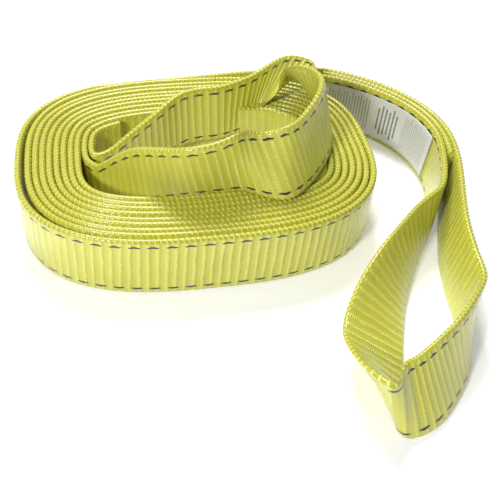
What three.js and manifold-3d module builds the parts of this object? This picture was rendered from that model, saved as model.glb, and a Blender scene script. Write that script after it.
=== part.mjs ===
// Tow strap of flat webbing with a sewn eye at each end, wound into an oval coil that lies on its edge.
// Millimetres, +Z up. The origin is the middle of the part's base.
import * as THREE from "three";
import { mergeVertices } from "three/addons/utils/BufferGeometryUtils.js";
import Module from "manifold-3d";

// Webbing.
const WEBBING_WIDTH = 50.8;
const WEBBING_THICKNESS = 5.0;

// Coil: a superellipse, measured over its outermost turn. The fullness is its exponent: 2 is an ellipse.
const COIL_HALF_LENGTH = 136;
const COIL_HALF_WIDTH = 100.5;
const COIL_FULLNESS = 2.75;
const COIL_SETBACK = 1.8;
const TURN_PITCH = 5.5;
const FULL_TURNS = 8;
const GROOVE_DEPTH = 3;
const STEPS_PER_TURN = 64;
const STEP_CROWDING = 0.8;

// Outer end: where the last turn leaves the coil, and the plies of the sewn length behind its eye.
const LEAVING_ANGLE = THREE.MathUtils.degToRad(87.5);
const LEAVING_LEADS = [0.05, 0.01];
const OUTER_SEWN_PLIES = 3;
const OUTER_SEWN_FROM_STATION = 5;
const OUTER_SEWN_TO_STATION = 11;

// Inner end: the sewn plies round the bore's left end, and how far the back leg of the eye stands up.
const INNER_SEWN_PLIES = 2;
const INNER_SEWN_FROM = THREE.MathUtils.degToRad(105);
const INNER_SEWN_TO = THREE.MathUtils.degToRad(179.5);
const INNER_SEWN_STEPS = 16;
const BACK_LEG_RISE = 24;
const REST_GAP = 0.3;
const INNER_EYE_FLOOR = WEBBING_WIDTH + REST_GAP;

// Label on the sewn length.
const LABEL_WIDTH = 40;
const LABEL_THICKNESS = 0.8;
const LABEL_GAP = 0.3;
const LABEL_STEPS_SHORT = 3;

// How deep the plies press into the turns that they join, so that the webbing is one body.
const FUSE_DEPTH = 0.4;

// Facets smaller than this, left where two bands cross, are merged into their neighbours.
const SLIVER_SIZE = 0.02;

const STEPS_PER_STATION = 3;

const coilWall = (FULL_TURNS + 1) * TURN_PITCH;
const boreLeft = -(COIL_HALF_LENGTH - coilWall);

// A point of the superellipse whose outward normal has this angle, moved inward by inset.
function ovalPoint(angle, inset) {
  const c = Math.cos(angle);
  const s = Math.sin(angle);
  const dual = COIL_FULLNESS / (COIL_FULLNESS - 1);
  const power = 1 / (COIL_FULLNESS - 1);
  const run = Math.abs(COIL_HALF_LENGTH * c);
  const rise = Math.abs(COIL_HALF_WIDTH * s);
  const scale = (run ** dual + rise ** dual) ** (1 / COIL_FULLNESS);
  const x = COIL_HALF_LENGTH * Math.sign(c) * run ** power / scale;
  const y = COIL_HALF_WIDTH * Math.sign(s) * rise ** power / scale;
  return new THREE.Vector2(x - inset * c, y - inset * s + COIL_SETBACK);
}

// Crowds angles towards the flat sides and ends, where the outline turns least, so that steps stay even.
function crowded(angle) {
  return angle - STEP_CROWDING * Math.sin(4 * angle) / 4;
}

// Normal angles that go once round the oval, counter-clockwise from the start.
function ovalAngles(start) {
  const turn = Math.PI * 2;
  const angles = [];
  for (let i = 0; i < STEPS_PER_TURN; i += 1) {
    angles.push(crowded(turn * i / STEPS_PER_TURN));
  }
  return angles.map((a) => (a - start + 2 * turn) % turn).sort((a, b) => a - b).map((a) => a + start);
}

// A closed body from rings of points that run the same way round, with flat caps or joined end to end.
function loftRings(rings, closed) {
  const count = rings[0].length;
  const vertices = rings.flat().flatMap((p) => [p.x, p.y, p.z]);
  const index = [];
  const last = closed ? rings.length : rings.length - 1;
  for (let i = 0; i < last; i += 1) {
    const j = (i + 1) % rings.length;
    for (let k = 0; k < count; k += 1) {
      const m = (k + 1) % count;
      index.push(i * count + k, j * count + k, j * count + m);
      index.push(i * count + k, j * count + m, i * count + m);
    }
  }
  if (!closed) {
    const end = (rings.length - 1) * count;
    for (let k = 1; k < count - 1; k += 1) {
      index.push(0, k, k + 1);
      index.push(end, end + k + 1, end + k);
    }
  }
  const geometry = new THREE.BufferGeometry();
  geometry.setAttribute("position", new THREE.Float32BufferAttribute(vertices, 3));
  geometry.setIndex(index);
  return geometry;
}

// A flat band: each place has its lower edge's middle (foot) and the direction across its width (up).
// A band that leans is lifted, so that its lower corner stays on what it rests on.
function bandRings(places, width, thickness) {
  return places.map((place, i) => {
    const before = places[Math.max(i - 1, 0)].foot;
    const after = places[Math.min(i + 1, places.length - 1)].foot;
    const along = after.clone().sub(before);
    const across = new THREE.Vector3().crossVectors(along, place.up).normalize().multiplyScalar(thickness / 2);
    const foot = place.foot.clone();
    foot.z += Math.abs(across.z);
    const head = foot.clone().addScaledVector(place.up, width);
    return [
      head.clone().add(across),
      head.clone().sub(across),
      foot.clone().sub(across),
      foot.clone().add(across),
    ];
  });
}

// Smooth places through a list of stations. Each station is [x, y, z, upX, upY, upZ].
function smoothPlaces(stations) {
  const feet = new THREE.CatmullRomCurve3(stations.map(([x, y, z]) => new THREE.Vector3(x, y, z)), false, "centripetal");
  const ups = new THREE.CatmullRomCurve3(stations.map((s) => new THREE.Vector3(s[3], s[4], s[5])), false, "centripetal");
  const steps = (stations.length - 1) * STEPS_PER_STATION;
  const places = [];
  for (let i = 0; i <= steps; i += 1) {
    const up = ups.getPoint(i / steps).normalize();
    const foot = feet.getPoint(i / steps);
    foot.z = Math.max(foot.z, 0, -up.z * WEBBING_WIDTH);
    places.push({ foot, up });
  }
  return places;
}

// The wound turns, apart from the outermost one: one ring with its bore, grooved between the turns.
function woundTurns() {
  const profile = [];
  for (let k = 1; k <= FULL_TURNS; k += 1) {
    const outside = k * TURN_PITCH;
    const inside = k === FULL_TURNS ? coilWall : outside + WEBBING_THICKNESS;
    profile.push([outside, WEBBING_WIDTH], [inside, WEBBING_WIDTH]);
    if (k < FULL_TURNS) {
      profile.push([(inside + outside + TURN_PITCH) / 2, WEBBING_WIDTH - GROOVE_DEPTH]);
    }
  }
  const lower = profile.map(([inset, z]) => [inset, WEBBING_WIDTH - z]).reverse();
  const section = profile.concat(lower);
  const rings = ovalAngles(0).map((angle) => section.map(([inset, z]) => {
    const p = ovalPoint(angle, inset);
    return new THREE.Vector3(p.x, p.y, z);
  }));
  return loftRings(rings, true);
}

// The outermost turn, from where it parts from the turns below it to where it leaves the coil.
function outermostTurn() {
  const full = Math.PI * 2;
  const angles = ovalAngles(LEAVING_ANGLE).concat([LEAVING_ANGLE + full]);
  return angles.reverse().map((angle) => {
    const inset = (TURN_PITCH + FUSE_DEPTH) * (angle - LEAVING_ANGLE) / full + WEBBING_THICKNESS / 2;
    const p = ovalPoint(angle, inset);
    return { foot: new THREE.Vector3(p.x, p.y, 0), up: new THREE.Vector3(0, 0, 1) };
  });
}

// Stations of the outer end: x counts from the coil's right end, y on the back from the coil's back.
const right = COIL_HALF_LENGTH;
const back = COIL_HALF_WIDTH + COIL_SETBACK;
const leaving = LEAVING_LEADS.map((lead) => {
  const p = ovalPoint(LEAVING_ANGLE + lead, WEBBING_THICKNESS / 2);
  return [p.x, p.y, 0, 0, 0, 1];
});
const OUTER_PLY = [
  ...leaving,
  [right - 91, back - 0.6, 0, 0, 0, 1],
  [right - 66, back + 0.2, 0, 0, 0, 1],
  [right - 39, back + 0.7, 0, 0, 0, 1],
  [right - 13, back - 1.3, 0, 0, 0, 1],
  [right + 13, back - 15.3, 0, 0, 0, 1],
  [right + 34, back - 32.3, 0, 0, 0, 1],
  [right + 52, back - 56.3, 0, 0.02, 0, 1],
  [right + 61, 22, 0, 0.04, 0, 1],
  [right + 63, 0, 0, 0.05, 0, 1],
  [right + 59, -26, 0, 0.06, 0, 1],
  [right + 51, -48, 0, 0.09, -0.02, 1],
];
const RIGHT_LEG = [
  [right + 42, -70, 0, 0.12, -0.03, 1],
  [right + 33, -96, 0, 0.14, -0.03, 1],
  [right + 27, -124, 0, 0.15, -0.02, 1],
  [right + 24, -151, 0, 0.12, 0, 1],
  [right + 23, -172, 0, -0.14, 0.1, 0.98],
  [right + 14, -192, 0, -0.28, 0.22, 0.93],
  [right - 2, -211, 0, -0.35, 0.35, 0.87],
  [right - 18, -225, 0, -0.3, 0.48, 0.82],
  [right - 33, -231, 0, -0.22, 0.5, 0.84],
];
const LEFT_LEG = [
  [right - 42, -229, 0, -0.24, 0.1, 0.96],
  [right - 43, -219, 0, -0.42, 0.16, 0.9],
  [right - 35, -203, 0, -0.66, 0.28, 0.69],
  [right - 26, -178, 0, -0.8, 0.29, 0.52],
  [right - 18, -155, 0, -0.72, 0.27, 0.64],
  [right - 8, -130, 0, -0.51, 0.24, 0.83],
  [right + 5, -106, 0, -0.31, 0.18, 0.93],
  [right + 20, -83, 0, -0.16, 0.11, 0.98],
  [right + 35, -62, 0, -0.02, 0, 1],
  [right + 44, -42, 0, 0.02, 0, 1],
  [right + 50, -20, 0, 0.03, 0, 1],
];

// Stations of the inner eye: x counts from the bore's left end. The last ones run on the band's other edge.
const left = boreLeft + INNER_SEWN_PLIES * WEBBING_THICKNESS;
const top = INNER_EYE_FLOOR;
const raised = WEBBING_WIDTH + BACK_LEG_RISE;
const FRONT_LEG = [
  [left - 2.4, 12, 0, 0, 0, 1],
  [left - 2.2, 2, 0, 0, 0, 1],
  [left + 1, -9, 0, 0, 0, 1],
  [left + 12, -20, top * 0.16, 0, 0, 1],
  [left + 29, -28, top * 0.4, -0.06, 0, 1],
  [left + 49, -38, top * 0.68, -0.12, -0.1, 0.98],
  [left + 69, -46, top * 0.95, -0.18, -0.18, 0.96],
  [left + 88, -50, top, -0.18, -0.14, 0.97],
  [left + 103, -51, top, -0.18, 0.02, 0.98],
  [left + 117, -61, top, -0.24, 0.34, 0.91],
  [left + 130, -66, top, -0.28, 0.5, 0.82],
  [left + 144, -56, top, -0.29, 0.27, 0.92],
  [left + 160, -37, top, -0.3, 0.14, 0.94],
  [left + 172, -17, top, -0.2, 0.24, 0.95],
  [left + 179, 4, top, -0.22, 0.2, 0.95],
  [left + 181, 24, top, -0.36, 0.05, 0.93],
];
const BACK_LEG = [
  [left + 180, 44, top + 2, -0.56, -0.16, 0.81],
  [left + 176, 66, top + 6, -0.7, -0.45, 0.55],
  [left + 162, 84, top + 15, -0.68, -0.73, -0.05],
  [left + 142, 75, raised + 3, -0.5, -0.58, -0.64],
  [left + 118, 52, raised + 1, -0.14, -0.12, -0.98],
  [left + 97, 46, raised, 0, 0, -1],
  [left + 82, 45, raised, 0, 0, -1],
  [left + 67, 41, raised - 1, 0, 0, -1],
  [left + 47, 28, raised - 8, 0, 0, -1],
  [left + 27, 16, raised - 16, 0, 0, -1],
  [left + 9, 9, WEBBING_WIDTH, 0, 0, -1],
  [left - 2, 6, WEBBING_WIDTH, 0, 0, -1],
];

// Moves a run of places sideways, to the right of the way it goes, in plan.
function shifted(places, distance) {
  return places.map((place, i) => {
    const before = places[Math.max(i - 1, 0)].foot;
    const after = places[Math.min(i + 1, places.length - 1)].foot;
    const along = after.clone().sub(before).setZ(0).normalize();
    const foot = place.foot.clone();
    foot.x += along.y * distance;
    foot.y -= along.x * distance;
    return { foot, up: place.up };
  });
}

const outerPly = smoothPlaces(OUTER_PLY);
const outerSewn = outerPly.slice(
  OUTER_SEWN_FROM_STATION * STEPS_PER_STATION,
  OUTER_SEWN_TO_STATION * STEPS_PER_STATION + 1,
);
const outerSewnInnerFace = (OUTER_SEWN_PLIES - 0.5) * WEBBING_THICKNESS;

// The plies of the inner sewn length, along the wall of the bore from its back to its left end.
function innerSewn() {
  const inset = coilWall + INNER_SEWN_PLIES * WEBBING_THICKNESS / 2 - FUSE_DEPTH;
  const places = [];
  for (let i = 0; i <= INNER_SEWN_STEPS; i += 1) {
    const even = INNER_SEWN_FROM + (INNER_SEWN_TO - INNER_SEWN_FROM) * i / INNER_SEWN_STEPS;
    const p = ovalPoint(crowded(even), inset);
    places.push({ foot: new THREE.Vector3(p.x, p.y, 0), up: new THREE.Vector3(0, 0, 1) });
  }
  return places;
}

const wasm = await Module();
wasm.setup();

// A closed mesh as a boolean solid, with its shared corners merged.
function asSolid(geometry) {
  const merged = mergeVertices(geometry, 1e-4);
  const mesh = new wasm.Mesh({
    numProp: 3,
    vertProperties: new Float32Array(merged.attributes.position.array),
    triVerts: new Uint32Array(merged.index.array),
  });
  mesh.merge();
  return new wasm.Manifold(mesh);
}

function asGeometry(solid) {
  const mesh = solid.getMesh();
  const geometry = new THREE.BufferGeometry();
  geometry.setAttribute("position", new THREE.BufferAttribute(new Float32Array(mesh.vertProperties), 3));
  geometry.setIndex(new THREE.BufferAttribute(new Uint32Array(mesh.triVerts), 1));
  geometry.computeVertexNormals();
  return geometry;
}

function bandSolid(rings) {
  return asSolid(loftRings(rings, false));
}

// One band cut in two where it would cross itself, with one step in common.
function loopSolids(stations, cutStation) {
  const rings = bandRings(smoothPlaces(stations), WEBBING_WIDTH, WEBBING_THICKNESS);
  const cut = cutStation * STEPS_PER_STATION;
  return [bandSolid(rings.slice(0, cut + 2)), bandSolid(rings.slice(cut))];
}

// The whole strap is one length of webbing: the coil, the last turn, and the band of each eye.
function strapGeometry() {
  const outerSewnPlace = shifted(outerSewn, outerSewnInnerFace / 2);
  const innerSewnThickness = INNER_SEWN_PLIES * WEBBING_THICKNESS;
  const pieces = [
    bandSolid(bandRings(outermostTurn(), WEBBING_WIDTH, WEBBING_THICKNESS)),
    bandSolid(bandRings(outerSewnPlace, WEBBING_WIDTH, outerSewnInnerFace)),
    bandSolid(bandRings(innerSewn(), WEBBING_WIDTH, innerSewnThickness)),
    ...loopSolids(OUTER_PLY.concat(RIGHT_LEG, LEFT_LEG), OUTER_PLY.length + RIGHT_LEG.length),
    ...loopSolids(FRONT_LEG.concat(BACK_LEG), FRONT_LEG.length),
  ];
  let strap = asSolid(woundTurns());
  for (const piece of pieces) {
    strap = strap.add(piece);
  }
  return asGeometry(strap.simplify(SLIVER_SIZE));
}

function labelGeometry() {
  const places = shifted(outerSewn, outerSewnInnerFace + LABEL_GAP + LABEL_THICKNESS / 2);
  for (const place of places) {
    place.foot.z = (WEBBING_WIDTH - LABEL_WIDTH) / 2;
  }
  return loftRings(bandRings(places.slice(0, places.length - LABEL_STEPS_SHORT), LABEL_WIDTH, LABEL_THICKNESS), false);
}

const webbingYellow = new THREE.MeshStandardMaterial({ color: 0xd9d24a, roughness: 0.5, metalness: 0 });
const labelWhite = new THREE.MeshStandardMaterial({ color: 0xd8d8d2, roughness: 0.6, metalness: 0 });

const strap = new THREE.Mesh(strapGeometry(), webbingYellow);
strap.name = "webbing_strap";
const label = new THREE.Mesh(labelGeometry(), labelWhite);
label.name = "sewn_label";

const model = new THREE.Group();
model.add(strap, label);
const box = new THREE.Box3().setFromObject(model);
model.position.set(-(box.min.x + box.max.x) / 2, -(box.min.y + box.max.y) / 2, 0);
model.updateMatrixWorld(true);

export default model;
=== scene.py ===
"""Webbing strap wound into an oval coil, with a sewn eye at each end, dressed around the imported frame.

Lengths are millimetres until a mesh is made, and metres in the mesh.
"""

import logging
import math
from dataclasses import dataclass, field
from enum import Enum
from typing import Callable

import bpy
import numpy as np
from mathutils import Matrix, Vector


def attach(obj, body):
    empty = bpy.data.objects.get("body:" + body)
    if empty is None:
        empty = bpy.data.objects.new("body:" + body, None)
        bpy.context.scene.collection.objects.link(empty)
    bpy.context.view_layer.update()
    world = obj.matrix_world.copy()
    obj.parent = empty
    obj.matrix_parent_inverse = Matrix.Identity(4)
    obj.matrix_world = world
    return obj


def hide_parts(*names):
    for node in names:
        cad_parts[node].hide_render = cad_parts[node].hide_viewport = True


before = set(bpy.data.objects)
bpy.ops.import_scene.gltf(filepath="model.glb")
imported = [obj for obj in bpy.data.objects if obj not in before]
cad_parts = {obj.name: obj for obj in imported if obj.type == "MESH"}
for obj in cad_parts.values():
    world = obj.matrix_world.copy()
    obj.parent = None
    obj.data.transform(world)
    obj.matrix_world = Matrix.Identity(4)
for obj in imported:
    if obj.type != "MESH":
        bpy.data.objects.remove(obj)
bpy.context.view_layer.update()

log = logging.getLogger("strap")

MM = 0.001
TAU = 2.0 * math.pi

# The coil's own centre, seen from the frame's origin.
COIL_CENTRE = np.array([-34.77, 63.89, 0.0])

# A socket that feeds a shader input, or the number or colour that stands there.
Feed = bpy.types.NodeSocket | float | tuple[float, ...]

# Height over a band's surface, from its run, its place across and its place through.
Relief = Callable[[np.ndarray, np.ndarray, np.ndarray], np.ndarray]


class TracerSide(Enum):
    """The face of the webbing that carries the tracer threads, seen along its path."""

    LEFT = -1
    RIGHT = 1


@dataclass(frozen=True)
class Webbing:
    """Sizes of the woven band and of its weave."""

    width: float = 50.8
    thickness: float = 4.8
    rib_pitch: float = 6.2
    rib_height: float = 0.17
    knot_pitch: float = 3.7
    knot_height: float = 0.24
    edge_depth: float = 2.3
    tracer_inset: float = 5.4


@dataclass(frozen=True)
class Oval:
    """The coil's outline: a superellipse, as in the frame. A fullness of 2 would be an ellipse."""

    half_length: float = 136.0
    half_width: float = 100.5
    fullness: float = 2.75
    setback: float = 1.8

    def points(self, angle: np.ndarray, inset: np.ndarray) -> np.ndarray:
        """Points of the outline whose outward normal has the given angle, moved inward.

        With c and s the cosine and sine of the angle, each half axis times c or s is raised to
        1 / (fullness - 1), and both are divided by the same sum, so that the point lies on the
        superellipse. The inset is taken off along the normal.

        Args:
            angle: Normal angles in radians, any number of turns.
            inset: How far each point lies inside the outline.

        Returns:
            An (n, 3) array on the floor.
        """
        c, s = np.cos(angle), np.sin(angle)
        run, rise = np.abs(self.half_length * c), np.abs(self.half_width * s)
        power = 1.0 / (self.fullness - 1.0)
        dual = self.fullness * power
        scale = (run**dual + rise**dual) ** (1.0 / self.fullness)
        x = self.half_length * np.sign(c) * run**power / scale - inset * c
        y = self.half_width * np.sign(s) * rise**power / scale - inset * s + self.setback
        return np.stack([x, y, 0.0 * x], axis=1)


@dataclass
class Route:
    """Where a band runs: its lower edge's middle (feet), the direction across its width (ups)."""

    feet: np.ndarray
    ups: np.ndarray

    @staticmethod
    def flat(feet: np.ndarray) -> "Route":
        """A route of a band that stands on its edge, through these feet."""
        return Route(feet, np.tile([0.0, 0.0, 1.0], (len(feet), 1)))

    @staticmethod
    def through(stations: np.ndarray, per_span: int = 24) -> "Route":
        """A smooth route through stations of six numbers: foot and up.

        It is the centripetal Catmull-Rom curve: each span blends its two stations and their
        neighbours with knots spaced by the square root of the distance between feet.

        Args:
            stations: An (n, 6) array.
            per_span: Points worked out in each span.

        Returns:
            The dense route.
        """
        p = np.vstack([2 * stations[0] - stations[1], stations, 2 * stations[-1] - stations[-2]])
        gap = np.sqrt(np.maximum(np.linalg.norm(np.diff(p[:, :3], axis=0), axis=1), 1e-4))
        g0, g1, g2 = (gap[k : len(gap) - 2 + k, None, None] for k in range(3))
        p0, p1, p2, p3 = (p[k : len(p) - 3 + k, None, :] for k in range(4))
        t = np.linspace(0.0, 1.0, per_span, endpoint=False)[None, :, None] * g1
        a1 = (p1 * (t + g0) - p0 * t) / g0
        a2 = (p1 * (g1 - t) + p2 * t) / g1
        a3 = (p2 * (g1 + g2 - t) + p3 * (t - g1)) / g2
        b1 = (a1 * (g1 - t) + a2 * (t + g0)) / (g0 + g1)
        b2 = (a2 * (g1 + g2 - t) + a3 * t) / (g1 + g2)
        dense = ((b1 * (g1 - t) + b2 * t) / g1).reshape(-1, 6)
        dense = np.vstack([dense, stations[-1]])
        return Route(dense[:, :3], dense[:, 3:])

    def joined(self, other: "Route") -> "Route":
        """This route followed by another one."""
        return Route(np.vstack([self.feet, other.feet]), np.vstack([self.ups, other.ups]))

    def reversed(self) -> "Route":
        """The same route run the other way."""
        return Route(self.feet[::-1].copy(), self.ups[::-1].copy())

    def shifted(self, distance: float) -> "Route":
        """The route moved to the right of the way it goes, in plan.

        Args:
            distance: How far, in millimetres.
        """
        along = np.gradient(self.feet, axis=0)
        along[:, 2] = 0.0
        along /= np.linalg.norm(along, axis=1, keepdims=True)
        side = np.stack([along[:, 1], -along[:, 0], 0.0 * along[:, 0]], axis=1)
        return Route(self.feet + side * distance, self.ups)

    def even(self, step: float, smooth: int = 0) -> "Route":
        """The route at even steps along its length, its kinks eased by a running mean.

        Args:
            step: Distance between places.
            smooth: Half the window of the running mean, in places.

        Returns:
            The route with places step apart.
        """
        run = np.concatenate([[0.0], np.cumsum(np.linalg.norm(np.diff(self.feet, axis=0), axis=1))])
        count = max(int(round(run[-1] / step)), 2)
        at = np.linspace(0.0, run[-1], count + 1)
        both = np.hstack([self.feet, self.ups])
        both = np.stack([np.interp(at, run, both[:, k]) for k in range(6)], axis=1)
        if smooth:
            window = np.ones(2 * smooth + 1) / (2 * smooth + 1)
            head = 2 * both[0] - both[smooth:0:-1]
            tail = 2 * both[-1] - both[-2 : -2 - smooth : -1]
            padded = np.vstack([head, both, tail])
            both = np.stack([np.convolve(padded[:, k], window, "valid") for k in range(6)], axis=1)
        ups = both[:, 3:] / np.linalg.norm(both[:, 3:], axis=1, keepdims=True)
        return Route(both[:, :3], ups)

    def run(self) -> np.ndarray:
        """Distance along the route at each place."""
        return np.concatenate([[0.0], np.cumsum(np.linalg.norm(np.diff(self.feet, axis=0), axis=1))])


def band_profile(
    width: float, thickness: float, edge_depth: float, face_points: int, edge_points: int
) -> np.ndarray:
    """A band's section: two flat faces and two half-elliptical edges, counter-clockwise.

    Args:
        width: Across the band.
        thickness: Through the band.
        edge_depth: How far the rounded edge reaches in from the band's side.
        face_points: Points on each face between the edges.
        edge_points: Points on each rounded edge.

    Returns:
        An (m, 4) array of place (across, through) and outward direction (across, through).
    """
    half, thick = width / 2.0, thickness / 2.0
    turn = np.linspace(-math.pi / 2, math.pi / 2, edge_points)
    edge = np.stack([half - edge_depth + edge_depth * np.cos(turn), thick * np.sin(turn)], axis=1)
    edge_way = np.stack([thick * np.cos(turn), edge_depth * np.sin(turn)], axis=1)
    edge_way /= np.linalg.norm(edge_way, axis=1, keepdims=True)
    across = np.linspace(half - edge_depth, edge_depth - half, face_points + 2)[1:-1]
    face = np.stack([across, np.full(face_points, thick)], axis=1)
    face_way = np.tile([0.0, 1.0], (face_points, 1))
    half_loop = np.hstack([np.vstack([edge, face]), np.vstack([edge_way, face_way])])
    return np.vstack([half_loop, -half_loop])


def woven_relief(webbing: Webbing, share: float = 1.0) -> Relief:
    """Height of the weave over the band's mean surface.

    On the faces it is a rib: the sine of the run over the rib pitch. On the edges it is the row
    of loops: the positive half of a sine of the run and of the place through the band.

    Args:
        webbing: The weave's sizes.
        share: How much of the relief is shown.

    Returns:
        A function of run, across and through that gives the height in millimetres.
    """

    def height(u: np.ndarray, v: np.ndarray, t: np.ndarray) -> np.ndarray:
        rim = np.clip((np.abs(v) - (webbing.width / 2 - webbing.edge_depth)) / 1.2, 0.0, 1.0)
        rib = 0.5 * np.sin(TAU * (u + 0.05 * v) / webbing.rib_pitch) - 0.5
        knot = np.maximum(np.sin(TAU * (u / webbing.knot_pitch + t / (1.9 * webbing.thickness))), 0.0) - 0.9
        return share * ((1 - rim) * rib * webbing.rib_height + rim * knot * webbing.knot_height)

    return height


def mesh_object(name: str, points: np.ndarray, faces: list[list[int]], weave: np.ndarray) -> bpy.types.Object:
    """A smooth mesh in the frame, in metres, with its weave place as a point attribute.

    Args:
        name: The piece's name.
        points: Vertices in millimetres, seen from the coil's centre.
        faces: Corner numbers of each face, counter-clockwise from outside.
        weave: Run, across and through at each vertex, in millimetres.

    Returns:
        The new object, linked to the scene.
    """
    mesh = bpy.data.meshes.new(name)
    mesh.from_pydata(((points + COIL_CENTRE) * MM).tolist(), [], faces)
    attribute = mesh.attributes.new("weave", "FLOAT_VECTOR", "POINT")
    attribute.data.foreach_set("vector", weave.astype(np.float32).ravel())
    mesh.polygons.foreach_set("use_smooth", np.array([len(f) == 4 for f in faces]))
    mesh.update()
    piece = bpy.data.objects.new(name, mesh)
    bpy.context.scene.collection.objects.link(piece)
    return piece


def grid_faces(rows: int, columns: int) -> np.ndarray:
    """Quads of a grid whose columns close on themselves, with outward winding.

    Args:
        rows: Places along the band.
        columns: Points round the section.

    Returns:
        An (n, 4) array of corner numbers.
    """
    i = np.arange(rows - 1)[:, None] * columns
    k = np.arange(columns)[None, :]
    m = (k + 1) % columns
    return np.stack([i + k, i + m, i + columns + m, i + columns + k], axis=-1).reshape(-1, 4)


@dataclass
class Band:
    """A length of webbing swept along a route."""

    name: str
    route: Route
    width: float
    thickness: float
    edge_depth: float
    face_points: int = 14
    edge_points: int = 8
    start: float = 0.0
    tracer: TracerSide = TracerSide.RIGHT
    relief: Relief | None = None

    def places(self) -> tuple[np.ndarray, np.ndarray]:
        """The band's middle line and the direction through it, at each place.

        The direction through is the way along crossed with the way across the width. A band that
        leans is lifted by its corner's dip, so that it stays on what it rests on.

        Returns:
            The middle line and the unit direction through, both (n, 3).
        """
        along = np.gradient(self.route.feet, axis=0)
        through = np.cross(along, self.route.ups)
        through /= np.linalg.norm(through, axis=1, keepdims=True)
        middle = self.route.feet + self.route.ups * self.width / 2.0
        middle[:, 2] += np.abs(through[:, 2]) * self.thickness / 2.0
        return middle, through

    def build(self) -> bpy.types.Object:
        """Sweeps the section along the route and closes both ends.

        Each vertex is the middle line plus the section's place, moved by the relief along the
        section's outward direction.

        Returns:
            The new object.
        """
        section = band_profile(
            self.width, self.thickness, self.edge_depth, self.face_points, self.edge_points
        )
        middle, through = self.places()
        u = self.start + self.route.run()[:, None] + 0.0 * section[None, :, 0]
        v = section[None, :, 0] + 0.0 * u
        t = section[None, :, 1] + 0.0 * u
        height = self.relief(u, v, t * self.tracer.value) if self.relief else 0.0 * u
        across = v + section[None, :, 2] * height
        depth = t + section[None, :, 3] * height
        points = middle[:, None] + self.route.ups[:, None] * across[..., None]
        points = points + through[:, None] * depth[..., None]
        rows, columns = u.shape
        faces = grid_faces(rows, columns).tolist()
        faces.append(list(range(columns))[::-1])
        faces.append(list(range((rows - 1) * columns, rows * columns)))
        weave = np.stack([u, v, t * self.tracer.value], axis=-1).reshape(-1, 3)
        return mesh_object(self.name, points.reshape(-1, 3), faces, weave)

    def length(self) -> float:
        """The band's cut length, in millimetres."""
        return float(self.route.run()[-1])


class Shader:
    """One procedural material: it adds nodes and joins them."""

    def __init__(self, name: str) -> None:
        """Starts an empty material.

        Args:
            name: The material's name.
        """
        self.material = bpy.data.materials.new(name)
        self.material.use_nodes = True
        self.tree = self.material.node_tree
        self.tree.nodes.clear()

    def feed(self, socket: bpy.types.NodeSocket, source: Feed) -> None:
        """Joins a socket to its source, or sets its value.

        Args:
            socket: The input.
            source: A socket, number or colour.
        """
        if isinstance(source, bpy.types.NodeSocket):
            self.tree.links.new(source, socket)
        else:
            socket.default_value = source

    def math(
        self, operation: str, a: Feed, b: Feed | None = None, c: Feed | None = None, clamp: bool = False
    ) -> bpy.types.NodeSocket:
        """A Math node's result.

        Args:
            operation: The node's operation.
            a: First operand.
            b: Second operand, where there is one.
            c: Third operand, where there is one.
            clamp: Keep the result from 0 to 1.

        Returns:
            The output socket.
        """
        node = self.tree.nodes.new("ShaderNodeMath")
        node.operation = operation
        node.use_clamp = clamp
        for socket, value in zip(node.inputs, (a, b, c)):
            if value is not None:
                self.feed(socket, value)
        return node.outputs[0]

    def wave(self, place: Feed, pitch: float) -> bpy.types.NodeSocket:
        """The sine of a place over a pitch, in whole turns."""
        return self.math("SINE", self.math("MULTIPLY", place, TAU / pitch))

    def mix(self, factor: Feed, a: Feed, b: Feed) -> bpy.types.NodeSocket:
        """A colour between two colours.

        Args:
            factor: 0 gives a, 1 gives b.
            a: First colour.
            b: Second colour.

        Returns:
            The output socket.
        """
        node = self.tree.nodes.new("ShaderNodeMix")
        node.data_type = "RGBA"
        self.feed(node.inputs[0], factor)
        self.feed(node.inputs[6], a)
        self.feed(node.inputs[7], b)
        return node.outputs[2]

    def place(self) -> list[bpy.types.NodeSocket]:
        """Run along the band, place across it and place through it, in millimetres."""
        source = self.tree.nodes.new("ShaderNodeAttribute")
        source.attribute_name = "weave"
        split = self.tree.nodes.new("ShaderNodeSeparateXYZ")
        self.tree.links.new(source.outputs["Vector"], split.inputs[0])
        return list(split.outputs)

    def noise(self, axes: tuple[Feed, Feed, Feed], detail: float = 2.0) -> bpy.types.NodeSocket:
        """Smooth noise from 0 to 1 over three places.

        Args:
            axes: The places, already scaled.
            detail: Octaves.

        Returns:
            The output socket.
        """
        join = self.tree.nodes.new("ShaderNodeCombineXYZ")
        for socket, value in zip(join.inputs, axes):
            self.feed(socket, value)
        node = self.tree.nodes.new("ShaderNodeTexNoise")
        node.inputs["Scale"].default_value = 1.0
        node.inputs["Detail"].default_value = detail
        self.tree.links.new(join.outputs[0], node.inputs["Vector"])
        return node.outputs["Fac"]

    def surface(
        self, colour: Feed, roughness: Feed, height: Feed | None = None, strength: float = 1.0,
        **even: float | tuple[float, ...],
    ) -> bpy.types.Material:
        """Ends the material in a Principled shader.

        Args:
            colour: Base colour.
            roughness: Roughness.
            height: Bump height in millimetres.
            strength: Bump strength.
            **even: Shader inputs that are the same all over, by name with _ for a space.

        Returns:
            The material.
        """
        shader = self.tree.nodes.new("ShaderNodeBsdfPrincipled")
        output = self.tree.nodes.new("ShaderNodeOutputMaterial")
        self.feed(shader.inputs["Base Color"], colour)
        self.feed(shader.inputs["Roughness"], roughness)
        for name, value in even.items():
            shader.inputs[name.replace("_", " ")].default_value = value
        if height is not None:
            bump = self.tree.nodes.new("ShaderNodeBump")
            bump.inputs["Strength"].default_value = strength
            bump.inputs["Distance"].default_value = MM
            self.feed(bump.inputs["Height"], height)
            self.tree.links.new(bump.outputs[0], shader.inputs["Normal"])
        self.tree.links.new(shader.outputs[0], output.inputs["Surface"])
        return self.material


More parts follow.
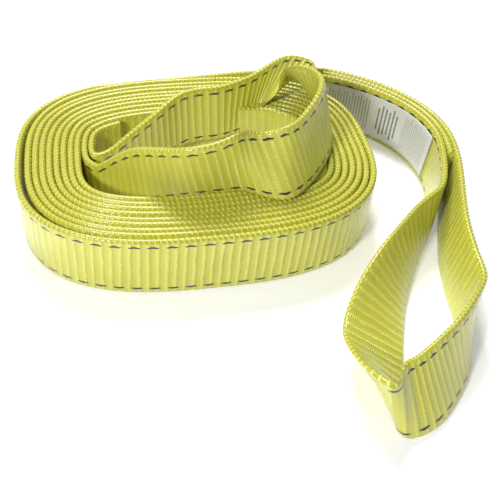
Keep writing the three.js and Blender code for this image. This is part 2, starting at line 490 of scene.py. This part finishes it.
@dataclass(frozen=True)
class WebbingFinish:
    """Yellow polyester webbing: ribs across it, loops along its edges and two tracer threads, with a painted
    highlight on the rib crests and edge loops and painted shade in the rib valleys.
    """

    webbing: Webbing = field(default_factory=Webbing)
    # The darker colour is painted shade in the rib valleys; the paler one is a painted highlight on the
    # crests and edge loops.
    shaded_valley: tuple[float, ...] = (0.39, 0.38, 0.018, 1.0)
    highlight_crest: tuple[float, ...] = (0.77, 0.775, 0.12, 1.0)
    tracer: tuple[float, ...] = (0.012, 0.02, 0.026, 1.0)
    yarn_pitch: float = 1.7
    dash_pitch: float = 12.4
    dash_share: float = 0.66
    dash_half: float = 0.95

    def material(self) -> bpy.types.Material:
        """Builds the material.

        The rib's phase is the run, moved a little by each yarn and by slow noise. Height is the
        rib's crest plus the yarn's on the faces, and the loops on the edges. Colour follows the
        height: a painted highlight on the crests and loop tops and painted shade in the valleys,
        with grain and slow noise. The tracer is a dash where the run's fraction of a dash pitch is
        under its share.

        Returns:
            The material.
        """
        s = Shader("yellow_webbing")
        w = self.webbing
        u, v, t = s.place()
        slow = [s.math("MULTIPLY", place, scale) for place, scale in ((u, 0.09), (v, 0.05), (t, 0.2))]
        drift = s.noise(tuple(slow))
        yarn = s.wave(v, self.yarn_pitch)
        moved = s.math("MULTIPLY_ADD", yarn, 0.5, u)
        moved = s.math("MULTIPLY_ADD", s.math("SUBTRACT", drift, 0.5), 2.2, moved)
        moved = s.math("MULTIPLY_ADD", v, 0.05, moved)
        rib = s.math("MULTIPLY_ADD", s.wave(moved, w.rib_pitch), 0.5, 0.5)
        highlight_crest = s.math("POWER", rib, 2.6)
        grain = s.noise((s.math("MULTIPLY", u, 0.9), s.math("MULTIPLY", v, 4.0), t), 3.0)
        face = s.math("MULTIPLY", highlight_crest, s.math("MULTIPLY_ADD", yarn, 0.24, 0.46))
        face = s.math("MULTIPLY_ADD", grain, 0.10, face)
        across = s.math("ABSOLUTE", v)
        rim = s.math("MULTIPLY", s.math("SUBTRACT", across, w.width / 2 - 2.6), 0.9, clamp=True)
        slant = s.math("MULTIPLY_ADD", t, w.knot_pitch / (1.9 * w.thickness), u)
        knot = s.math("MAXIMUM", s.wave(slant, w.knot_pitch), 0.0)
        rows = s.math("ABSOLUTE", s.wave(t, 0.98 * w.thickness))
        knot = s.math("MULTIPLY", knot, s.math("MULTIPLY_ADD", rows, 0.75, 0.25))
        height = self.between(s, rim, face, s.math("MULTIPLY", knot, 0.7))
        # Painted light: crests and edge-loop tops take the pale colour as a painted highlight and valleys
        # take the dark colour as painted shade; grain and slow noise add random tone.
        grain_and_painted_light = self.between(s, rim, s.math("MULTIPLY_ADD", highlight_crest, 0.45, s.math("MULTIPLY", grain, 0.6)), knot)
        grain_and_painted_light = s.math("ADD", grain_and_painted_light, s.math("MULTIPLY", s.math("SUBTRACT", drift, 0.5), 0.35), clamp=True)
        colour = s.mix(grain_and_painted_light, self.shaded_valley, self.highlight_crest)
        colour = s.mix(self.dash(s, u, across, t), colour, self.tracer)
        rough = s.math("MULTIPLY_ADD", grain_and_painted_light, -0.20, 0.36)
        return s.surface(
            colour, rough, height, Specular_IOR_Level=0.7, Coat_Weight=0.4, Coat_Roughness=0.2,
            Sheen_Weight=0.03, Sheen_Roughness=0.4,
        )

    @staticmethod
    def between(s: Shader, share: Feed, a: Feed, b: Feed) -> bpy.types.NodeSocket:
        """A number between two numbers: a plus share times (b minus a)."""
        return s.math("MULTIPLY_ADD", s.math("SUBTRACT", b, a), share, a)

    def dash(self, s: Shader, u: Feed, across: Feed, t: Feed) -> bpy.types.NodeSocket:
        """Where the tracer threads show.

        The dash is a lens: its half width is the root of a sine that is positive over the dash's
        share of the pitch. It shows on one face only.

        Args:
            s: The material's nodes.
            u: Run along the band.
            across: Distance from the band's middle line.
            t: Place through the band, positive on the tracer's face.

        Returns:
            1 on the thread and 0 off it.
        """
        part = s.math("DIVIDE", s.math("FRACT", s.math("DIVIDE", u, self.dash_pitch)), self.dash_share)
        swell = s.math("MAXIMUM", s.math("SINE", s.math("MULTIPLY", part, math.pi)), 0.0)
        half = s.math("MULTIPLY", s.math("SQRT", swell), self.dash_half)
        line = self.webbing.width / 2 - self.webbing.tracer_inset
        wander = s.math("MULTIPLY", s.wave(u, self.dash_pitch / 2), 0.22)
        off = s.math("ABSOLUTE", s.math("SUBTRACT", s.math("ADD", across, wander), line))
        on = s.math("MULTIPLY_ADD", s.math("SUBTRACT", half, off), 6.0, 0.5, clamp=True)
        return s.math("MULTIPLY", on, s.math("GREATER_THAN", t, 1.2))


@dataclass(frozen=True)
class LabelFinish:
    """Pale woven label with three blocks of plain ruled bars across it."""

    cloth: tuple[float, ...] = (0.62, 0.63, 0.60, 1.0)
    ink: tuple[float, ...] = (0.13, 0.13, 0.10, 1.0)

    def material(self) -> bpy.types.Material:
        """Builds the material.

        A bar shows where the sine of the run over its pitch is high, inside its block's run and
        its own reach across the label. The label's weave is a fine sine in both directions.

        Returns:
            The material.
        """
        s = Shader("pale_label")
        u, v, t = s.place()
        grain = s.noise((s.math("MULTIPLY", u, 0.6), s.math("MULTIPLY", v, 0.6), t))
        weave = s.math("MULTIPLY", s.wave(u, 0.9), s.wave(v, 0.9))
        ink: Feed = 0.0
        for low, high, reach, pitch, strength in (
            (6.0, 46.0, 15.0, 2.6, 0.62),
            (52.0, 74.0, 13.0, 3.6, 0.95),
            (80.0, 112.0, 15.0, 2.2, 0.42),
        ):
            stripe = s.math("MULTIPLY_ADD", s.wave(u, pitch), 2.2, 0.2, clamp=True)
            inside = s.math("MULTIPLY", s.math("GREATER_THAN", u, low), s.math("LESS_THAN", u, high))
            bar = s.math("ROUND", s.math("DIVIDE", u, pitch))
            ragged = s.math("MULTIPLY_ADD", s.math("SINE", s.math("MULTIPLY", bar, 2.4)), 2.2, reach)
            inside = s.math("MULTIPLY", inside, s.math("LESS_THAN", s.math("ABSOLUTE", v), ragged))
            block = s.math("MULTIPLY", s.math("MULTIPLY", stripe, inside), strength)
            ink = s.math("ADD", ink, block, clamp=True)
        ink = s.math("MULTIPLY", ink, s.math("MULTIPLY_ADD", grain, 0.5, 0.65))
        cloth = s.mix(grain, self.cloth, tuple(0.86 * c for c in self.cloth[:3]) + (1.0,))
        height = s.math("MULTIPLY_ADD", weave, 0.03, s.math("MULTIPLY", grain, 0.3))
        return s.surface(s.mix(ink, cloth, self.ink), 0.62, height, 0.6, Sheen_Weight=0.1)


@dataclass(frozen=True)
class ThreadFinish:
    """Sewing thread with its twist, its grooves darkened with painted shade."""

    light: tuple[float, ...] = (0.66, 0.63, 0.03, 1.0)
    groove_shade: tuple[float, ...] = (0.3, 0.27, 0.006, 1.0)

    def material(self, name: str) -> bpy.types.Material:
        """Builds the material: the sine of the run along the stitch darkens its twist's grooves as painted
        shade.

        Args:
            name: The material's name.
        """
        s = Shader(name)
        u, v, t = s.place()
        twist = s.math("MULTIPLY_ADD", s.wave(s.math("ADD", u, v), 0.8), 0.5, 0.5)
        # Painted shade: the twist's grooves take a darker copy of the thread's colour.
        return s.surface(s.mix(twist, self.groove_shade, self.light), 0.5, s.math("MULTIPLY", twist, 0.1), 0.6)


@dataclass
class Stitches:
    """Rows of sewn stitches on a face of a band."""

    name: str
    route: Route
    width: float
    rows: tuple[float, ...]
    depth: float
    long: float = 3.0
    pitch: float = 4.4
    wide: float = 0.45
    high: float = 0.42
    sides: int = 6
    rings: int = 5

    def build(self) -> bpy.types.Object:
        """Lays a lens of thread at each stitch's place.

        A stitch is a ring of points whose radius swells as the root of a sine from end to end.

        Returns:
            The new object.
        """
        route = self.route.even(self.pitch)
        along = np.gradient(route.feet, axis=0)
        along /= np.linalg.norm(along, axis=1, keepdims=True)
        through = np.cross(along, route.ups)
        through /= np.linalg.norm(through, axis=1, keepdims=True)
        rows = np.array(self.rows)
        middle = route.feet + route.ups * self.width / 2 + through * self.depth
        base = middle[None] + route.ups[None] * rows[:, None, None]
        base = base[:, 1:-1].reshape(-1, 3)
        ways = [np.tile(w[1:-1], (len(rows), 1)) for w in (along, route.ups, through)]
        part = np.linspace(0.0, 1.0, self.rings)
        swell = 0.25 + 0.75 * np.sqrt(np.sin(math.pi * part))
        turn = np.arange(self.sides) * TAU / self.sides
        x = np.repeat((part - 0.5) * self.long, self.sides)
        y = (swell[:, None] * np.cos(turn) * self.wide).ravel()
        z = (swell[:, None] * np.sin(turn) * self.high).ravel()
        points = base[:, None] + sum(w[:, None] * c[None, :, None] for w, c in zip(ways, (x, y, z)))
        count = self.rings * self.sides
        one = grid_faces(self.rings, self.sides)
        shifts = (np.arange(len(base)) * count)[:, None, None]
        quads = (one[None] + shifts).reshape(-1, 4)
        caps = np.stack([np.arange(self.sides)[::-1], np.arange(count - self.sides, count)])
        faces = quads.tolist() + (caps[None] + shifts).reshape(-1, self.sides).tolist()
        weave = np.tile(np.stack([x, y, z], axis=1), (len(base), 1))
        return mesh_object(self.name, points.reshape(-1, 3), faces, weave)


@dataclass
class Coil:
    """The wound turns: a spiral of one band inside the oval outline."""

    oval: Oval = field(default_factory=Oval)
    webbing: Webbing = field(default_factory=Webbing)
    pitch: float = 5.3
    leaving: float = math.radians(87.5)
    inner_angle: float = math.radians(179.0)
    whole_turns: int = 9
    loose: float = 2.3
    loose_from: float = math.radians(105.0)
    loose_to: float = math.radians(300.0)

    @property
    def turns(self) -> float:
        """Turns from where the band leaves the coil to its inner end."""
        return self.whole_turns + (self.inner_angle - self.leaving) / TAU

    def spiral(self, inner: float, outer: float, step: float = 0.004) -> Route:
        """The band between two counts of turns from where it leaves the coil, run outwards.

        The inset is half the thickness plus the pitch times the turns. Where the outermost turn
        hangs loose the turns under it are pressed in, less and less towards the bore. Their
        height wanders by a fraction of a millimetre.

        Args:
            inner: Turns at the route's start.
            outer: Turns at the route's end.
            step: Turns between points.

        Returns:
            The route.
        """
        t = np.linspace(inner, outer, int(abs(inner - outer) / step) + 2)
        angle = self.leaving + TAU * t
        part = np.clip((np.mod(angle, TAU) - self.loose_from) / (self.loose_to - self.loose_from), 0.0, 1.0)
        share = np.clip((t - 1.0) / 0.08, 0.0, 1.0) * (self.turns - t) / (self.turns - 1.0)
        slack = self.loose * np.sin(math.pi * part) ** 2 * share
        ripple = 0.10 * np.sin(5.0 * angle + 1.7 * t) * np.clip(t, 0.0, 1.0)
        feet = self.oval.points(angle, self.webbing.thickness / 2 + self.pitch * t + slack + ripple)
        inside = np.clip(t * 2.0, 0.0, 1.0) * np.clip((self.turns - t) * 2.0, 0.0, 1.0)
        feet[:, 2] = inside * (0.35 + 0.35 * np.sin(2.3 * t + 1.3 * np.sin(angle * 2.0 + t)))
        return Route.flat(feet)

    def build(self) -> tuple[bpy.types.Object, Band]:
        """Builds the turns that lie under the outermost one.

        Returns:
            The object and its band.
        """
        route = self.spiral(self.turns - 0.1, 1.0).even(1.25)
        band = Band(
            "coil_turns", route, self.webbing.width, self.webbing.thickness, self.webbing.edge_depth,
            face_points=3, edge_points=7, tracer=TracerSide.LEFT, relief=woven_relief(self.webbing, 0.8),
        )
        return band.build(), band


@dataclass
class OuterEnd:
    """The outermost turn, the length that leaves the coil, its sewn plies and the eye beside it."""

    coil: Coil
    start: float
    sewn_from: int = 3
    sewn_to: int = 9
    ply_pitch: float = 5.0
    label_width: float = 40.0
    label_thickness: float = 0.7
    label_foot: float = 5.4

    def ply(self) -> np.ndarray:
        """Stations of the length that leaves the coil, foot and up."""
        right = self.coil.oval.half_length
        back = self.coil.oval.half_width + self.coil.oval.setback
        return np.array([
            [right - 91, back - 0.6, 0, 0, 0, 1],
            [right - 66, back + 0.2, 0, 0, 0, 1],
            [right - 39, back + 0.7, 0, 0, 0, 1],
            [right - 13, back - 1.3, 0, 0, 0, 1],
            [right + 13, back - 15.3, 0, 0, 0, 1],
            [right + 34, back - 32.3, 0, 0, 0, 1],
            [right + 52, back - 56.3, 0, 0.02, 0, 1],
            [right + 61, 22, 0, 0.04, 0, 1],
            [right + 63, 0, 0, 0.05, 0, 1],
            [right + 59, -26, 0, 0.06, 0, 1],
            [right + 51, -48, 0, 0.09, -0.02, 1],
        ])

    def eye(self) -> np.ndarray:
        """Stations of the eye: its right leg, its bow on the floor and its left leg."""
        right = self.coil.oval.half_length
        return np.array([
            [right + 42, -70, 0, 0.12, -0.03, 1],
            [right + 33, -96, 0, 0.14, -0.03, 1],
            [right + 27, -124, 0, 0.15, -0.02, 1],
            [right + 24, -151, 0, 0.12, 0, 1],
            [right + 23, -172, 0, -0.14, 0.1, 0.98],
            [right + 14, -192, 0, -0.28, 0.22, 0.93],
            [right - 2, -211, 0, -0.35, 0.35, 0.87],
            [right - 18, -225, 0, -0.3, 0.48, 0.82],
            [right - 33, -231, 0, -0.22, 0.5, 0.84],
            [right - 42, -229, 0, -0.24, 0.1, 0.96],
            [right - 43, -219, 0, -0.42, 0.16, 0.9],
            [right - 35, -203, 0, -0.66, 0.28, 0.69],
            [right - 26, -178, 0, -0.8, 0.29, 0.52],
            [right - 18, -155, 0, -0.72, 0.27, 0.64],
            [right - 8, -130, 0, -0.51, 0.24, 0.83],
            [right + 5, -106, 0, -0.31, 0.18, 0.93],
            [right + 20, -83, 0, -0.16, 0.11, 0.98],
            [right + 35, -62, 0, -0.02, 0, 1],
            [right + 44, -42, 0, 0.02, 0, 1],
        ])

    def sewn(self, depth: float) -> Route:
        """The sewn length, moved inward from the outer ply.

        Args:
            depth: How far inside the outer ply's middle line.

        Returns:
            The route, run from the coil towards the eye.
        """
        per_span = 24
        whole = Route.through(self.ply(), per_span)
        part = slice(self.sewn_from * per_span, self.sewn_to * per_span + 1)
        return Route(whole.feet[part], whole.ups[part]).shifted(depth)

    def strap_route(self) -> Route:
        """The whole band: last turn, outer ply, both legs of the eye and the inner ply back."""
        coil = self.coil
        turn = coil.spiral(1.0, 0.05, 0.004)
        inner = self.sewn(2 * self.ply_pitch).reversed().even(18.0)
        back = np.hstack([inner.feet, inner.ups])[1:]
        stations = np.vstack([self.ply(), self.eye(), back])
        tail = Route.through(np.vstack([np.hstack([turn.feet[-1], turn.ups[-1]]), stations]))
        return turn.joined(Route(tail.feet[1:], tail.ups[1:])).even(1.05, 4)

    def build(self) -> list[tuple[bpy.types.Object, Band]]:
        """Builds the band and the ply between its two ends.

        Returns:
            Each object with its band.
        """
        w = self.coil.webbing
        whole = self.strap_route()
        outer = Band(
            "outer_turn_and_eye", whole, w.width, w.thickness, w.edge_depth,
            start=self.start, tracer=TracerSide.LEFT, relief=woven_relief(w), face_points=12,
        )
        middle = Band(
            "outer_middle_ply", self.sewn(self.ply_pitch).even(1.2, 3), w.width, w.thickness, w.edge_depth,
            start=3.1, tracer=TracerSide.LEFT, relief=woven_relief(w), face_points=4,
        )
        return [(outer.build(), outer), (middle.build(), middle)]

    def label(self) -> Band:
        """The label on the sewn length's inner face."""
        depth = 2.5 * self.ply_pitch + 0.55
        route = self.sewn(depth)
        keep = len(route.feet) - 24
        lift = np.array([0.0, 0.0, self.label_foot])
        route = Route(route.feet[:keep] + lift, route.ups[:keep]).even(1.0, 3)
        return Band(
            "label_cloth", route, self.label_width, self.label_thickness, self.label_thickness / 2,
            face_points=20, edge_points=3,
        )

    def stitches(self) -> list[Stitches]:
        """Rows of stitches through the sewn length, on its outer and on its inner face."""
        w = self.coil.webbing
        inner = 2 * self.ply_pitch
        outside = (-22.0, -14.0, 14.0, 22.0)
        return [
            Stitches("outer_stitches_out", self.sewn(0.0), w.width, outside, -w.thickness / 2),
            Stitches("outer_stitches_in", self.sewn(inner), w.width, (-22.0, 22.0), w.thickness / 2),
        ]


@dataclass
class InnerEnd:
    """The eye at the coil's inner end: its sewn plies in the bore and the loop that lies on the coil."""

    coil: Coil
    left: float = -76.5
    top: float = 51.1
    raised: float = 74.8
    low: float = 0.1
    high: float = 50.9
    sewn_from: float = math.radians(105.0)
    sewn_to: float = math.radians(177.1)
    stitched_to: float = math.radians(177.0)

    def loop(self) -> np.ndarray:
        """Stations of the loop, from the sewn length out over the coil and back."""
        left, top, raised, high = self.left, self.top, self.raised, self.high
        return np.array([
            [left - 6.0, -2, 0, 0, 0, 1],
            [left + 0.5, -9.5, 0, 0, 0, 1],
            [left + 13, -15, top * 0.22, 0, 0, 1],
            [left + 30, -23, top * 0.45, -0.06, 0, 1],
            [left + 49, -34, top * 0.67, -0.12, -0.1, 0.98],
            [left + 69, -44.5, top * 0.88, -0.18, -0.18, 0.96],
            [left + 88, -47.8, top * 0.95, -0.18, -0.14, 0.97],
            [left + 103, -51.5, top, -0.18, 0.02, 0.98],
            [left + 117, -61, top, -0.24, 0.34, 0.91],
            [left + 130, -66, top, -0.28, 0.5, 0.82],
            [left + 144, -56, top, -0.29, 0.27, 0.92],
            [left + 160, -37, top, -0.3, 0.14, 0.94],
            [left + 172, -17, top, -0.2, 0.24, 0.95],
            [left + 179, 4, top, -0.22, 0.2, 0.95],
            [left + 181, 24, top, -0.36, 0.05, 0.93],
            [left + 180, 44, top + 2, -0.56, -0.16, 0.81],
            [left + 183, 65, top + 6, -0.7, -0.45, 0.55],
            [left + 184, 82, top + 15, -0.74, -0.66, -0.05],
            [left + 160, 79, raised + 3, -0.55, -0.55, -0.62],
            [left + 123, 56, raised + 1, -0.14, -0.12, -0.98],
            [left + 97, 46, raised, 0, 0, -1],
            [left + 82, 45, raised, 0, 0, -1],
            [left + 67, 41, raised - 1, 0, 0, -1],
            [left + 47, 28, raised - 8, 0, 0, -1],
            [left + 27, 16, raised - 16, 0, 0, -1],
            [left + 10, 7, high, 0, 0, -1],
            [left + 2.5, 3.2, high, 0, 0, -1],
            [left - 1.6, 4.2, high, 0, 0, -1],
            [left - 2.6, 9.0, high, 0, 0, -1],
        ])

    def bore_wall(self, inset: float, start: float, end: float, up: float) -> Route:
        """A route along the bore's wall.

        Args:
            inset: How far inside the coil's outline.
            start: Normal angle at the start.
            end: Normal angle at the end.
            up: 1 with the foot on the floor, -1 with the foot at the band's upper edge.

        Returns:
            The route.
        """
        angle = np.linspace(start, end, 40)
        feet = self.coil.oval.points(angle, np.full(40, inset))
        feet[:, 2] = self.low if up > 0 else self.high
        return Route(feet, np.tile([0.0, 0.0, up], (40, 1)))

    def build(self) -> tuple[bpy.types.Object, Band]:
        """Builds the band from the coil's inner end, round the loop and back onto itself.

        Returns:
            The object and its band.
        """
        w = self.coil.webbing
        coil = self.coil
        first = coil.spiral(coil.turns - 0.1, coil.turns, 0.004).even(6.0)
        inset = w.thickness / 2 + coil.pitch * coil.turns + 5.0
        last = self.bore_wall(inset, self.sewn_to, self.sewn_from, -1.0).even(8.0)
        stations = np.vstack([
            np.hstack([first.feet, first.ups]), self.loop(), np.hstack([last.feet, last.ups]),
        ])
        route = Route.through(stations).even(1.05, 3)
        reach = np.maximum(0.05, -route.ups[:, 2] * w.width)
        route.feet[:, 2] = np.maximum(route.feet[:, 2], reach)
        band = Band(
            "inner_eye", route, w.width, w.thickness, w.edge_depth,
            tracer=TracerSide.RIGHT, relief=woven_relief(w), face_points=12,
        )
        return band.build(), band

    def stitches(self) -> Stitches:
        """Rows of stitches on the bore's side of the sewn length."""
        w = self.coil.webbing
        inset = w.thickness / 2 + self.coil.pitch * self.coil.turns + 5.0
        wall = self.bore_wall(inset, self.sewn_from, self.stitched_to, 1.0)
        return Stitches("inner_stitches", wall, w.width, (-22.0, -14.0, 14.0, 22.0), -w.thickness / 2)


@dataclass
class Studio:
    """Pale floor, soft lights and the camera at the photograph's view."""

    floor_side: float = 8.0
    floor_gap: float = 0.0003
    lens: float = 52.7
    sensor: float = 36.0
    camera_place: tuple[float, float, float] = (-0.0996, -0.3691, 0.3922)
    camera_right: tuple[float, float, float] = (0.981, -0.187, 0.060)
    camera_back: tuple[float, float, float] = (-0.173, -0.678, 0.714)

    def floor(self) -> bpy.types.Object:
        """A pale seamless floor just under the strap, faintly mottled, glowing a little as painted light that
        brightens its shadows.
        """
        half = self.floor_side / 2
        mesh = bpy.data.meshes.new("floor")
        low = -self.floor_gap
        corners = [(-half, -half, low), (half, -half, low), (half, half, low), (-half, half, low)]
        mesh.from_pydata(corners, [], [(0, 1, 2, 3)])
        piece = bpy.data.objects.new("floor", mesh)
        bpy.context.scene.collection.objects.link(piece)
        s = Shader("pale_floor")
        where = s.tree.nodes.new("ShaderNodeTexCoord")
        mottle = s.tree.nodes.new("ShaderNodeTexNoise")
        mottle.inputs["Scale"].default_value = 6.0
        s.tree.links.new(where.outputs["Object"], mottle.inputs["Vector"])
        colour = s.mix(mottle.outputs["Fac"], (0.80, 0.80, 0.80, 1.0), (0.83, 0.83, 0.83, 1.0))
        # Painted light: the floor glows to brighten the shadows on it and to light the strap's lower parts.
        painted_light_glow = {"Emission_Color": (1.0, 1.0, 1.0, 1.0), "Emission_Strength": 0.26}
        piece.data.materials.append(s.surface(colour, 0.6, **painted_light_glow))
        return piece

    def light(self, name: str, place: tuple[float, float, float], size: float, power: float) -> None:
        """An area light that looks at the strap.

        Args:
            name: The light's name.
            place: Where it stands, in metres.
            size: Its side, in metres.
            power: Its power, in watts.
        """
        lamp = bpy.data.lights.new(name, "AREA")
        lamp.size = size
        lamp.energy = power
        holder = bpy.data.objects.new(name, lamp)
        holder.location = place
        holder.rotation_euler = (-Vector(place)).to_track_quat("-Z", "Y").to_euler()
        bpy.context.scene.collection.objects.link(holder)

    def camera(self) -> None:
        """The camera: its axes are worked out from the fitted view and made square."""
        back = Vector(self.camera_back).normalized()
        right = (Vector(self.camera_right) - back * Vector(self.camera_right).dot(back)).normalized()
        up = back.cross(right)
        data = bpy.data.cameras.new("camera")
        data.lens = self.lens
        data.sensor_width = self.sensor
        holder = bpy.data.objects.new("camera", data)
        turned = Matrix((right, up, back)).transposed().to_4x4()
        holder.matrix_world = Matrix.Translation(Vector(self.camera_place)) @ turned
        bpy.context.scene.collection.objects.link(holder)
        bpy.context.scene.camera = holder

    def build(self) -> None:
        """Sets up floor, lights, sky and camera."""
        self.floor()
        self.light("key", (-0.80, -0.75, 0.85), 0.2, 14.0)
        self.light("top", (-0.05, 0.75, 1.25), 0.4, 21.0)
        self.light("fill", (1.1, -0.7, 0.7), 1.0, 0.5)
        world = bpy.data.worlds.new("studio")
        world.use_nodes = True
        world.node_tree.nodes["Background"].inputs["Color"].default_value = (1.0, 1.0, 1.0, 1.0)
        world.node_tree.nodes["Background"].inputs["Strength"].default_value = 0.3
        bpy.context.scene.world = world
        bpy.context.scene.view_settings.view_transform = "Standard"
        self.camera()


def dress(piece: bpy.types.Object, material: bpy.types.Material) -> None:
    """Gives a piece its material and its body.

    Args:
        piece: The piece.
        material: Its finish.
    """
    piece.data.materials.append(material)
    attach(piece, "root")
    log.info("%s: %d faces", piece.name, len(piece.data.polygons))


def main() -> None:
    Studio().build()
    webbing = WebbingFinish().material()
    thread = ThreadFinish().material("sewing_thread")
    coil = Coil()
    turns, turns_band = coil.build()
    outer_end = OuterEnd(coil, start=turns_band.length())
    inner_end = InnerEnd(coil)
    made = [(turns, turns_band), *outer_end.build(), inner_end.build()]
    for piece, _ in made:
        dress(piece, webbing)
    for rows in (*outer_end.stitches(), inner_end.stitches()):
        dress(rows.build(), thread)
    label_band = outer_end.label()
    label = label_band.build()
    dress(label, LabelFinish().material())

    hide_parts("webbing_strap")
    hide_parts("sewn_label")
    for piece, band in made:
        flat = (band.width * MM, band.length() * MM)
        log.info("%s: %.0f mm of webbing", piece.name, band.length())
    flat = (label_band.width * MM, label_band.length() * MM)


if __name__ == "__main__":
    logging.basicConfig(level=logging.INFO, format="%(name)s %(message)s")
    main()
